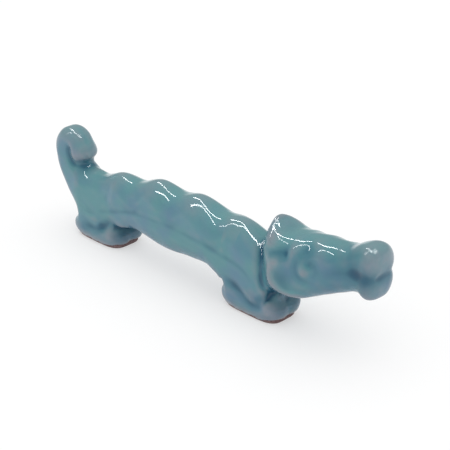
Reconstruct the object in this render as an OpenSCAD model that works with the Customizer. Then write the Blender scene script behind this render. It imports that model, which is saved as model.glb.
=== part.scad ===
// Brush rest in glazed ceramic: a long beast standing on two feet.
// X runs from the tail to the nose, Z is up, and the feet stand on Z = 0.
// All sizes are in millimetres and all angles in degrees.

/* [Stance] */
// From the end of the tail scroll to the middle of the hind foot
tail_reach = 18.9; // [17:0.1:25]
// Between the middles of the two feet
stance = 58.4; // [50:0.1:70]
// From the middle of the fore foot to the end of the nose
head_reach = 37.2; // [32:0.1:42]

/* [Feet] */
// Length of the bare ring under the hind foot
hind_l = 17.8; // [14:0.2:18]
// Length of the bare ring under the fore foot
fore_l = 17.8; // [15:0.2:19]
// Width of both feet at the bare ring
foot_w = 10.6; // [8:0.2:12]
// Height of the feet up to the underside of the body
foot_h = 6.5; // [5:0.1:8]
// Height of the bare clay at the bottom of each foot
rim_h = 0.9; // [0.5:0.1:1.6]
// How far the glazed foot overhangs the bare clay
glaze_lip = 0.3; // [0.1:0.05:0.6]
// How far the toes swell beyond the bottom of the foot
toe_swell = 0.9; // [0:0.1:1.6]
// How far the sides of a foot are drawn in between its toes
toe_cleft = 0.3; // [0:0.1:1.4]
// Height of the knuckles and depth of the lines over the toes
toe_relief = 0.45; // [0:0.05:0.6]

/* [Body] */
// Height of the arch behind the belly
arch_h = 8.4; // [7.5:0.1:10]
// Height of the lowest part of the belly between the feet
belly_h = 7.1; // [6.8:0.1:8.2]
// Height of the back where the tail leaves it
root_top = 18.6; // [16:0.2:20]
// Height of the first wave of the back
wave_h1 = 21.3; // [19:0.1:23]
// Height of the second wave
wave_h2 = 23.8; // [21:0.1:25]
// Height of the third wave
wave_h3 = 24.1; // [21:0.1:25]
// Height of the wave at the shoulders
wave_h4 = 22.6; // [20:0.1:25]
// Length of one wave of the back, where a brush lies between two of them
wave_pitch = 15.2; // [13:0.1:16]
// Depth of the dips that the brushes lie in
dip_depth = 1.7; // [0.8:0.1:3]
// Width of the body over the hind foot
body_w_hind = 10.6; // [9:0.2:13]
// Width of the body at the shoulders
body_w_fore = 12.6; // [11:0.2:15]
// Height of the folds that run down the flank from the waves
fold_relief = 0.35; // [0:0.05:0.6]
// Depth of the line that is cut along the flank
line_depth = 0.35; // [0:0.05:0.6]

/* [Tail scroll] */
// Radius of the scroll
curl_r = 6.8; // [5.5:0.1:7.5]
// Height of the middle of the scroll
curl_z = 22.8; // [21:0.2:25]
// Thickness of the scroll across the body
curl_w = 8.0; // [5:0.2:9]
// Radius of the curled tip in the middle of the scroll
tip_r = 2.1; // [1.6:0.1:2.6]
// Width of the groove round the tip
curl_groove_w = 1.3; // [0.8:0.1:1.8]
// Depth of the groove round the tip, from each side
curl_groove_d = 1.7; // [0.6:0.1:2.4]

/* [Head] */
// Width of the head at the cheeks
head_w = 15.8; // [13:0.2:18]
// Width of the muzzle where it is narrowest
muzzle_w = 10.0; // [8:0.2:12]
// Width of the nose and lips
nose_w = 12.2; // [9:0.2:13]
// Height of the rounded horns behind the brow
horn_h = 27.3; // [26:0.1:31]
// Height of the brow, which runs flat to the muzzle
brow_h = 26.6; // [25:0.1:28]
// Height of the tip of the nose
nose_h = 30.2; // [28:0.1:32]
// Height of the lowest part of the jaw
jaw_h = 8.9; // [8.2:0.1:11]
// Height of the underside of the chin
chin_h = 16.7; // [16:0.1:20]
// Height of the corner of the mouth at the nose
mouth_h = 23.2; // [22:0.1:26]
// Depth of the notch that the mouth cuts in the front of the nose
mouth_notch = 0.6; // [0.4:0.1:2]
// Radius of the scroll on each cheek
scroll_r = 2.7; // [1.8:0.1:3.2]
// Height of the ridges and depth of the hollows carved on the head
head_relief = 0.6; // [0.2:0.05:0.9]
// How much the body and the head are drawn in at the neck
neck_groove = 1.0; // [0.4:0.1:1.8]

/* [Hidden] */

glaze = [0.36, 0.62, 0.68];
clay = [0.45, 0.25, 0.18];

// places along X: the tail's root behind the hind foot, the first wave in front of it, the neck over the fore foot
root_back = 6.6;
wave_ahead = 7;
neck_ahead = 2.9;
total_l = tail_reach + stance + head_reach;
tail_x = -total_l / 2;
hind_x = tail_x + tail_reach;
fore_x = hind_x + stance;
nose_x = fore_x + head_reach;
root_x = hind_x - root_back;
neck_x = fore_x + neck_ahead;
wave_x = hind_x + wave_ahead;

// counts of faces
TRUNK_RINGS = 42;
TRUNK_SIDES = 34;
HEAD_RINGS = 50;
HEAD_SIDES = 58;
TAIL_LOOPS = 8;
TAIL_BANDS = 6;
FOOT_RINGS = 10;
FOOT_SIDES = 52;

// a smooth curve through points [place, value]
function span_of(x, t, i = 0) = i >= len(t) - 2 || x < t[i + 1][0] ? i : span_of(x, t, i + 1);
function slope(t, i) =
    let (a = max(i - 1, 0), b = min(i + 1, len(t) - 1)) (t[b][1] - t[a][1]) / (t[b][0] - t[a][0]);
function curve(x, t) =
    let (i = span_of(x, t), h = t[i + 1][0] - t[i][0], u = min(max((x - t[i][0]) / h, 0), 1),
         a = slope(t, i) * h, b = slope(t, i + 1) * h, rise = t[i + 1][1] - t[i][1])
    t[i][1] + a * u + (3 * rise - 2 * a - b) * u * u + (a + b - 2 * rise) * u * u * u;

function ease(x, a, b) = let (u = min(max((x - a) / (b - a), 0), 1)) u * u * (3 - 2 * u);
function bump(d, w) = exp(-pow(d / w, 2));
function mix(a, b, u) = a + (b - a) * u;
function signed_power(v, p) = sign(v) * pow(abs(v), p);
// a point of an oval with half width a and half height b, squarer for a larger n
function oval(t, a, b, n) = pow(pow(abs(cos(t)) / a, n) + pow(abs(sin(t)) / b, n), -1 / n) * [cos(t), sin(t)];

// distance from a point to a line through points
function span_gap(p, a, b) = let (d = b - a, u = min(max((p - a) * d / (d * d), 0), 1)) norm(p - a - u * d);
function line_gap(p, line) = min([for (i = [0:len(line) - 2]) span_gap(p, line[i], line[i + 1])]);

// a closed skin over rings of equal length, turning left as seen from the last one
module skin(rings, start, end) {
    n = len(rings[0]);
    m = len(rings);
    sides = [for (i = [0:m - 2]) for (j = [0:n - 1])
        let (a = i * n + j, b = i * n + (j + 1) % n) each [[a, a + n, b + n], [a, b + n, b]]];
    first = [for (j = [0:n - 1]) [m * n, j, (j + 1) % n]];
    last = [for (j = [0:n - 1]) [m * n + 1, (m - 1) * n + (j + 1) % n, (m - 1) * n + j]];
    points = [for (r = rings) each r];
    polyhedron(points = [each points, start, end], faces = [each sides, each first, each last]);
}

// Body

hind_front = hind_x + hind_l / 2;
fore_back = fore_x - fore_l / 2;
waves = [[root_x, root_top + dip_depth / 2], [wave_x, wave_h1], [wave_x + wave_pitch, wave_h2],
    [wave_x + 2 * wave_pitch, wave_h3], [wave_x + 3 * wave_pitch, wave_h4], [neck_x, wave_h4 - 1.4]];

function dip(x) = (1 - cos(360 * (x - wave_x) / wave_pitch)) / 2;
function back_z(x) = curve(x, waves) - dip_depth * dip(x) * ease(x, root_x - 8, root_x + 6);
underside = [[hind_front - 1, foot_h], [hind_front + 2, mix(foot_h, arch_h, 0.5)], [hind_front + 8, arch_h],
    [hind_front + 14, mix(arch_h, belly_h, 0.8)], [hind_front + 20, belly_h], [fore_back - 5, belly_h + 0.6],
    [fore_back - 1.5, foot_h + 0.8], [fore_back, foot_h]];
function belly_z(x) =
    let (u = min(max(1 - (neck_x - x) / chest_r, 0), 1))
    (x > hind_front - 1 && x < fore_back ? curve(x, underside) : foot_h) + chest_r * (1 - sqrt(1 - u * u));
function body_half(x) = mix(body_w_hind, body_w_fore, ease(x, hind_x, fore_x)) / 2;
CREST_ROUND = 2.05;
CREST_DIP = 2.7;
// between the feet the section's lower half is rounded, and over them it comes down with upright sides
BELLY_ROUND = 2.5;
KEEL_SQUARE = 9;
BELLY_DEPTH = 1.06;
KEEL_DEPTH = 1.3;
MID_SHARE = 0.42;
function over_foot(x) = max(1 - ease(x, hind_front - 1, hind_front + 6), ease(x, fore_back - 4, fore_back + 1));

// the chest is rounded above the fore foot
chest_r = 3.2;

// the cut line climbs from the hind foot, follows the flank and falls to the fore foot
flank_line = [[hind_x, foot_h + 2.5], [hind_x + 16, 14.4], [hind_x + 28, 15.5], [fore_x - 16, 14.8],
    [fore_x - 4, 13.4], [fore_x + 2, 10.5]];

function flank_relief(x, z) =
    let (top = back_z(x), down = top - z,
         fold = cos(360 * (x - wave_x - 0.35 * down) / wave_pitch) * bump(down - 4.5, 3),
         ends = ease(x, root_x, root_x + 5) * (1 - ease(x, neck_x - 6, neck_x - 2)))
    ends * (fold_relief * fold - line_depth * bump(z - curve(x, flank_line), 0.8));

// the body and the head draw in towards the plane where they meet
function neck_in(x, reach) = neck_groove * bump(x - neck_x, reach);

function body_ring(x) =
    let (in = neck_in(x, 1.8), top = back_z(x) - in, low = belly_z(x), half = body_half(x) - in,
         mid = mix(low, top, MID_SHARE), crest = mix(CREST_ROUND, CREST_DIP, dip(x)),
         keel = mix(BELLY_ROUND, KEEL_SQUARE, over_foot(x)), depth = mix(BELLY_DEPTH, KEEL_DEPTH, over_foot(x)))
    [for (j = [0:TRUNK_SIDES - 1]) let (t = 360 * j / TRUNK_SIDES,
        p = sin(t) >= 0 ? oval(t, half, top - mid, crest) : oval(t, half, depth * (mid - low), keel),
        z = max(low, mid + p[1]), side = min(1, abs(p[0]) / (0.6 * half)))
        [x, p[0] + sign(p[0]) * side * flank_relief(x, z), z]];

function along(a, b, n) = [for (i = [0:n]) mix(a, b, i / n)];
function ring_middle(ring) = [for (k = [0:2]) let (v = [for (p = ring) p[k]]) (max(v) + min(v)) / 2];

module trunk() color(glaze) {
    rings = [for (x = along(root_x, neck_x, TRUNK_RINGS)) body_ring(x)];
    skin(rings, ring_middle(rings[0]), ring_middle(rings[TRUNK_RINGS]));
}

// Head

horn_x = neck_x + 2.9;
brow_x = neck_x + 10;
jaw_x = neck_x + 7;
muzzle_x = nose_x - 8.2;
lip_x = nose_x - 3.2;
neck_top = back_z(neck_x);
head_top = [[neck_x, neck_top], [mix(neck_x, horn_x, 0.4), mix(neck_top, horn_h, 0.68)], [horn_x, horn_h],
    [mix(horn_x, brow_x, 0.48), brow_h - 0.4], [brow_x, brow_h - 0.8], [brow_x + 7, brow_h - 0.2],
    [muzzle_x, brow_h + 0.6], [lip_x, nose_h], [nose_x, nose_h - 0.6]];
head_low = [[neck_x, jaw_h + 2.2], [neck_x + 2.4, jaw_h + 0.6], [jaw_x, jaw_h], [jaw_x + 4.5, jaw_h + 0.3],
    [jaw_x + 10, jaw_h + 2.8], [muzzle_x, chin_h - 0.8], [lip_x, chin_h - 0.2], [nose_x, chin_h]];
head_half = [[neck_x, body_w_fore / 2 - 0.2], [neck_x + 3, head_w / 2 - 0.6], [jaw_x, head_w / 2],
    [jaw_x + 6, head_w / 2 - 0.8], [jaw_x + 12, mix(head_w, muzzle_w, 0.7) / 2], [muzzle_x, muzzle_w / 2],
    [lip_x, nose_w / 2], [nose_x, nose_w / 2]];
nose_round = 4.2;

// the lobe of a horn, the hollow in front of it, the ridge round the corner of the jaw and the hollow in it
horn_lobe = [horn_x + 1.8, horn_h - 3.4];
horn_hollow = [[horn_x + 5.4, brow_h - 4.4], [horn_x + 9.6, brow_h - 4.9]];
jaw_ridge = [for (p = [[0.9, 11], [-0.9, 9.8], [-1.8, 8.2], [-1.5, 5.9], [0.3, 3.8], [3.3, 2.7], [7.2, 3.3]])
    [jaw_x, jaw_h] + p];
jaw_hollow = [jaw_x + 2.2, jaw_h + 7.4];
scroll_at = [neck_x + 16.4, mix(jaw_h, brow_h, 0.67)];

// carved relief of one side of the head, positive outwards
function head_carving(p) =
    let (turn = norm(p - scroll_at),
         mouth_line = mix(scroll_at[1] - 0.4, mouth_h, ease(p[0], scroll_at[0] + 3, nose_x)))
    head_relief * (
        1.2 * bump(norm(p - horn_lobe), 2.8)
        + 0.9 * bump(line_gap(p, jaw_ridge), 1.3)
        - 1.2 * bump(norm(p - jaw_hollow), 2.8)
        - 1.3 * bump(line_gap(p, horn_hollow), 1.5)
        - 0.9 * bump(turn - scroll_r, 1.1)
        + 0.7 * bump(turn, 1.4)
        - 1.6 * bump(p[1] - mouth_line, 1.3) * ease(p[0], scroll_at[0] + 2, muzzle_x + 2));

function head_ring(s) =
    let (x = mix(neck_x, nose_x, s), in = neck_in(x, 1.3),
         end = min(max((x - nose_x + nose_round) / nose_round, 0), 1), shrink = pow(1 - pow(end, 2.6), 1 / 2.6),
         top = curve(x, head_top) - in, low = curve(x, head_low) + in, half = curve(x, head_half) - in,
         mid = mix(low, top, 0.5), keep = max(shrink, 0.3), ends = ease(x, neck_x, neck_x + 3) * keep)
    [for (j = [0:HEAD_SIDES - 1]) let (p = oval(360 * j / HEAD_SIDES, half, (top - low) / 2, 2.5),
        y = keep * p[0], z = mid + mix(1, keep, 0.45) * p[1], side = min(1, abs(y) / (0.5 * half)),
        notch = mouth_notch * bump(z - mouth_h, 1.5) * ease(x, nose_x - nose_round, nose_x))
        [x - notch, y + sign(y) * side * ends * head_carving([x, z]), z]];

module head() color(glaze) {
    rings = [for (s = along(0, 1, HEAD_RINGS)) head_ring(1 - pow(1 - s, 1.12))];
    skin(rings, ring_middle(rings[0]), [nose_x - mouth_notch, 0, mouth_h]);
}

// Tail scroll

root_z = back_z(root_x);
curl = [tail_x + curl_r, curl_z];
tip = curl + [curl_r - tip_r - curl_groove_w, 0.03 * curl_r];
groove_r = tip_r + curl_groove_w / 2;
edge_r = curl_r / 2;
stalk_low = [root_x - 0.77 * curl_r, foot_h + 0.34 * curl_r];
stalk_mid = [mix(curl[0] - curl_r, root_x, 0.28), mix(foot_h, curl_z, 0.5)];

function polar(c, r, a) = c + r * [cos(a), sin(a)];
notch_at = polar(tip, groove_r, -44);
SCROLL_END = 12;
function bezier(p, u) = pow(1 - u, 3) * p[0] + 3 * u * pow(1 - u, 2) * p[1] + 3 * u * u * (1 - u) * p[2]
    + pow(u, 3) * p[3];

// from the root's lower corner up the back of the stalk, round the scroll, into the notch and to the root's top
tail_loop = [
    each [for (u = along(0, 1, 14)) bezier([[root_x, foot_h], stalk_low, stalk_mid - [0, 0.44 * curl_r],
        polar(curl, curl_r, 190)], u)],
    each [for (a = along(180, SCROLL_END, 24)) polar(curl, curl_r, a)],
    each [for (u = along(0.16, 1, 5)) bezier([polar(curl, curl_r, SCROLL_END),
        polar(curl, curl_r, SCROLL_END - 8), notch_at + curl_r * [0.09, 0.16], notch_at], u)],
    each [for (u = along(0.34, 1, 2)) mix(notch_at, [root_x, root_z], u)]];
ROOT_STEPS = 12;
tail_outline = [each tail_loop, each [for (i = [1:ROOT_STEPS - 1]) [root_x, mix(root_z, foot_h, i / ROOT_STEPS)]]];

// half width of the body's own section at its rear end
function root_half(z) =
    let (mid = mix(foot_h, root_z, MID_SHARE), up = z > mid,
         h = min(abs(z - mid) / (up ? root_z - mid : KEEL_DEPTH * (mid - foot_h)), 1),
         n = up ? CREST_ROUND : KEEL_SQUARE)
    body_half(root_x) * pow(max(1 - pow(h, n), 0), 1 / n);

// 1 below the back, where the stalk meets the body, and 0 above it
function below_back(p) = 1 - ease(p[1], root_z - 0.12 * curl_r, root_z + 0.24 * curl_r);
// 1 for points of the outline on the flat face at the root, 0 for those on a rounded edge
function root_face(p) = ease(p[0], root_x - 0.6 * curl_r, root_x) * below_back(p);

// the stalk is a slab with rounded edges that widens into the body's own section
root_blend = 1.75 * curl_r;
function tail_half(p, gap, face) =
    let (e = min(max(gap / edge_r, 0.015), 1), edge = sqrt(1 - pow(1 - e, 2)), slab = curl_w / 2,
         widened = mix(slab, root_half(p[1]), ease(p[0], root_x - root_blend, root_x) * below_back(p)),
         v = p - tip, off = abs(atan2(v[1], v[0]) - 30), along_arc = ease(min(off, 360 - off), 60, 84),
         groove = curl_groove_d * bump(norm(v) - groove_r, curl_groove_w / 2) * along_arc)
    max(max(edge * slab, mix(edge, 1, face) * widened) - groove, slab / 8);

// loops round the middle of the scroll, evenly spaced up to its rounded edge and then closer to the outline
tail_reaches = [for (p = tail_outline) norm(p - curl)];
inner_reach = curl_r - edge_r;

function loop_radius(k, reach, face) =
    let (inner = inner_reach * min(1, reach / curl_r), step = (k - TAIL_LOOPS + 1) / TAIL_BANDS)
    k < TAIL_LOOPS ? inner * (k + 0.7) / (TAIL_LOOPS - 0.3) : mix(inner, reach, mix(sin(90 * step), step, face));
function tail_loop_at(k, side) = [for (i = [0:len(tail_outline) - 1])
    let (end = tail_outline[i], reach = tail_reaches[i], face = root_face(end),
         r = loop_radius(k, reach, face), q = mix(curl, end, r / reach))
    [q[0], side * tail_half(q, reach - r, face), q[1]]];

module tail_scroll() color(glaze) {
    last = TAIL_LOOPS + TAIL_BANDS - 1;
    rings = [each [for (k = [0:last]) tail_loop_at(k, -1)], each [for (k = [last:-1:0]) tail_loop_at(k, 1)]];
    middle = tail_half(curl, curl_r, 0);
    skin(rings, [curl[0], -middle, curl[1]], [curl[0], middle, curl[1]]);
}

// Feet

FOOT_SQUARE = 3.8;
// outline of a foot that stands out beyond its bare ring in length and in width, drawn in between its toes
function foot_outline(x, l, out_l, out_w) = [for (j = [0:FOOT_SIDES - 1])
    let (a = 360 * j / FOOT_SIDES, p = 2 / FOOT_SQUARE, u = signed_power(cos(a), p), v = signed_power(sin(a), p))
    [x + (l / 2 + out_l) * u, (foot_w / 2 + out_w - toe_cleft * bump(u + 0.1, 0.26) * abs(v)) * v]];

// the line over the toes and the knuckle in front, as shares of half the foot's length and of its height
toe_line = [[-0.75, 0.86], [-0.4, 0.84], [-0.05, 0.76], [0.28, 0.72], [0.5, 0.84], [0.7, 1], [0.9, 1.08]];
toe_knuckle = [0.88, 0.62];
function toe_carving(p, l) =
    let (size = [l / 2, foot_h], line = [for (q = toe_line) [q[0] * size[0], q[1] * size[1]]],
         knuckle = [toe_knuckle[0] * size[0], toe_knuckle[1] * size[1]])
    toe_relief * (bump(norm(p - knuckle), 1.7) - 1.2 * bump(line_gap(p, line), 0.9));

// the foot swells above its ring, and its top is as wide as the flat underside of the leg on it
LEG_SHARE = 0.98;

// in front of the neck its top rises by crown towards the jaw
module foot(x, l, crown) color(glaze) {
    top_out = LEG_SHARE * body_half(x) - foot_w / 2;
    rings = [for (h = along(0, 1, FOOT_RINGS))
        let (swell = toe_swell * sin(180 * pow(h, 0.8)), up = ease(h, 0.5, 1))
        [for (p = foot_outline(x, l, glaze_lip + swell - up, mix(glaze_lip, top_out, up) + swell))
            let (z = mix(rim_h, foot_h + crown * ease(p[0], neck_x - 1.5, neck_x + 3), h),
                 side = ease(abs(p[1]), 0.25 * foot_w, 0.42 * foot_w) * ease(h, 0, 0.15))
            [p[0], p[1] + sign(p[1]) * side * toe_carving([p[0] - x, z], l), z]]];
    skin(rings, [x, 0, rim_h], [x, 0, foot_h]);
}

module foot_rim(x, l) color(clay) linear_extrude(rim_h) polygon(foot_outline(x, l, 0, 0));

module hind_foot() foot(hind_x, hind_l, 0);
JAW_GAP = 1.1;
module fore_foot() foot(fore_x, fore_l, max(jaw_h - JAW_GAP - foot_h, 0));
module hind_foot_rim() foot_rim(hind_x, hind_l);
module fore_foot_rim() foot_rim(fore_x, fore_l);

trunk();
head();
tail_scroll();
hind_foot();
fore_foot();
hind_foot_rim();
fore_foot_rim();
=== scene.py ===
"""Looks of the brush rest: one glazed skin over the whole beast, and the bare clay rings that it stands on.

The real object is one fired piece with one glaze, so trunk, head, tail scroll and feet are dressed in one continuous
skin. Its shape is a field, a number for each point of space that is negative inside the clay, built from the same named
sizes as the solids. All sizes are in millimetres until a mesh is made, and the studio is in metres.
"""

import logging
from dataclasses import dataclass, field
from enum import Enum

import bpy
import numpy as np
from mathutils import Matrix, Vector


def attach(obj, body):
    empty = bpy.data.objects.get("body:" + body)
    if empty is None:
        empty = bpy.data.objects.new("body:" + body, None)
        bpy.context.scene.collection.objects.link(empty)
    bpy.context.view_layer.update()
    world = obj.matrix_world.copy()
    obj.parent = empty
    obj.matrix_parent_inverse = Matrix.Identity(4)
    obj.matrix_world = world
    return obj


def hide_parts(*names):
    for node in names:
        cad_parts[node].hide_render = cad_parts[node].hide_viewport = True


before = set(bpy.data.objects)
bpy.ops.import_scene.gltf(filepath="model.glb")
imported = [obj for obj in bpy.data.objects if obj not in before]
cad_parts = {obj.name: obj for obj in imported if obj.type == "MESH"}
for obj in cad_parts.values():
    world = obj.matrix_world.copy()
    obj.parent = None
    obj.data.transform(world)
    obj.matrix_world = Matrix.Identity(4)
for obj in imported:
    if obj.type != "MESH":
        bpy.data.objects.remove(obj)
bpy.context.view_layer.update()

MM = 0.001
SKIN_CELL = 0.36
PICTURE_SIDE = 450
Array = np.ndarray
Socket = bpy.types.NodeSocket
Tree = bpy.types.NodeTree
log = logging.getLogger("brush_rest")


# Small curves and blends


def mix(a: Array, b: Array, u: Array) -> Array:
    """Value between a and b, a where u is 0 and b where it is 1; plain numbers will do too."""
    return a + (b - a) * u


def ease(x: Array, a: float, b: float) -> Array:
    """Smooth step, 0 before a and 1 after b: three times the square less twice the cube of the share covered."""
    u = np.clip((x - a) / (b - a), 0, 1)
    return u * u * (3 - 2 * u)


def bump(gap: Array, width: float) -> Array:
    """Bell curve, 1 on the line and falling to a third at one width from it."""
    return np.exp(-((gap / width) ** 2))


def soft_union(a: Array, b: Array, soft: float) -> Array:
    """Smaller of two fields, with a fillet where they are within soft millimetres of each other."""
    share = np.clip(0.5 + 0.5 * (b - a) / soft, 0, 1)
    return mix(b, a, share) - soft * share * (1 - share)


def soft_cut(a: Array, b: Array, soft: float) -> Array:
    """Larger of two fields, with the edge where they meet rounded over soft millimetres."""
    return -soft_union(-a, -b, soft)


def smooth_curve(x: Array, points: list) -> Array:
    """Hermite curve through points.

    Args:
        x: places at which the curve is wanted.
        points: pairs of place and value in rising order; the slope at each is that between its two neighbours.

    Returns:
        The curve's value at each place, held level beyond its ends.
    """
    place, value = np.array(points, float).T
    last = len(place) - 1
    low, high = np.maximum(np.arange(last + 1) - 1, 0), np.minimum(np.arange(last + 1) + 1, last)
    slope = (value[high] - value[low]) / (place[high] - place[low])
    i = np.clip(np.searchsorted(place, x, side="right") - 1, 0, last - 1)
    step = place[i + 1] - place[i]
    u = np.clip((x - place[i]) / step, 0, 1)
    a, b, rise = slope[i] * step, slope[i + 1] * step, value[i + 1] - value[i]
    return value[i] + a * u + (3 * rise - 2 * a - b) * u**2 + (a + b - 2 * rise) * u**3


def smooth_track(points: list, per_span: int = 6) -> Array:
    """Catmull-Rom track through points in the plane of X and Z, as a dense line of points.

    Args:
        points: pairs of place along the body and height.
        per_span: points made for each span.

    Returns:
        The points of the track, from its start.
    """
    p = np.array(points, float)
    p = np.vstack([2 * p[0] - p[1], p, 2 * p[-1] - p[-2]])
    u = np.linspace(0, 1, per_span, endpoint=False)[None, :, None]
    a, b, c, d = (p[k : len(p) - 3 + k, None, :] for k in range(4))
    dense = 0.5 * (2 * b + (c - a) * u + (2 * a - 5 * b + 4 * c - d) * u**2 + (3 * b - a - 3 * c + d) * u**3)
    return np.vstack([dense.reshape(-1, 2), p[-2:-1]])


def track_gap(x: Array, z: Array, track: Array) -> tuple:
    """Distance to a track, and how far along it the nearest point lies.

    Args:
        x: places along the body.
        z: heights.
        track: points of the track, from its start.

    Returns:
        The distance, and the share of the track from 0 at its start to 1 at its end.
    """
    best, along = np.full(np.broadcast(x, z).shape, np.inf), 0.0
    count = len(track) - 1
    for i, (start, step) in enumerate(zip(track[:-1], np.diff(track, axis=0))):
        u = np.clip(((x - start[0]) * step[0] + (z - start[1]) * step[1]) / max(step @ step, 1e-9), 0, 1)
        gap = np.hypot(x - start[0] - u * step[0], z - start[1] - u * step[1])
        along = np.where(gap < best, (i + u) / count, along)
        best = np.minimum(best, gap)
    return best, along


def outline_gap(x: Array, z: Array, outline: Array) -> Array:
    """Distance to a closed outline, negative inside, where a level ray crosses its sides an odd number of times.

    Args:
        x: places along the body.
        z: heights.
        outline: its corners in order.

    Returns:
        The distance for each place and height.
    """
    gap, _ = track_gap(x, z, np.vstack([outline, outline[:1]]))
    inside = np.zeros(gap.shape, bool)
    for (x0, z0), (x1, z1) in zip(outline, np.roll(outline, -1, axis=0)):
        if z0 != z1:
            inside ^= ((z0 > z) != (z1 > z)) & (x < x0 + (x1 - x0) * (z - z0) / (z1 - z0))
    return np.where(inside, -gap, gap)


def oval_gap(a: Array, b: Array, half_a: Array, half_b: Array, n: Array) -> Array:
    """Distance along the ray from the middle of an oval to its edge, negative inside; a larger n is squarer.

    Args:
        a: distances from the middle along the first axis.
        b: distances along the second.
        half_a: half the oval's size along the first axis.
        half_b: half its size along the second.
        n: squareness, 2 for an ellipse.

    Returns:
        The field.
    """
    away = np.hypot(a, b)
    share = np.maximum(((np.abs(a) / half_a) ** n + (np.abs(b) / half_b) ** n) ** (1 / n), 1e-4)
    return np.where(away < 1e-3, -np.minimum(half_a, half_b), away * (1 - 1 / share))


def groove(x: Array, z: Array, points: list, width: float, taper: float = 0.12) -> Array:
    """Bell-shaped line along a track, 1 on it, fading over the share taper of its length at both ends."""
    gap, along = track_gap(x, z, smooth_track(points))
    return bump(gap, width) * ease(along, -0.01, taper) * (1 - ease(along, 1 - taper, 1.01))


# The beast's parts


@dataclass(frozen=True)
class Plan:
    """Sizes that the parts share, with the places along the body that follow from them."""

    tail_reach: float = 18.9
    stance: float = 58.4
    head_reach: float = 37.2
    foot_h: float = 6.5
    rim_h: float = 0.9
    body_w_hind: float = 10.6
    body_w_fore: float = 12.6

    @property
    def tail_x(self) -> float:
        """Rear end of the tail scroll."""
        return -(self.tail_reach + self.stance + self.head_reach) / 2

    @property
    def hind_x(self) -> float:
        """Middle of the hind foot."""
        return self.tail_x + self.tail_reach

    @property
    def fore_x(self) -> float:
        """Middle of the fore foot."""
        return self.hind_x + self.stance

    @property
    def nose_x(self) -> float:
        """Tip of the nose."""
        return self.fore_x + self.head_reach

    @property
    def root_x(self) -> float:
        """Root of the tail."""
        return self.hind_x - 6.6

    @property
    def neck_x(self) -> float:
        """Neck."""
        return self.fore_x + 2.9


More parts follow.
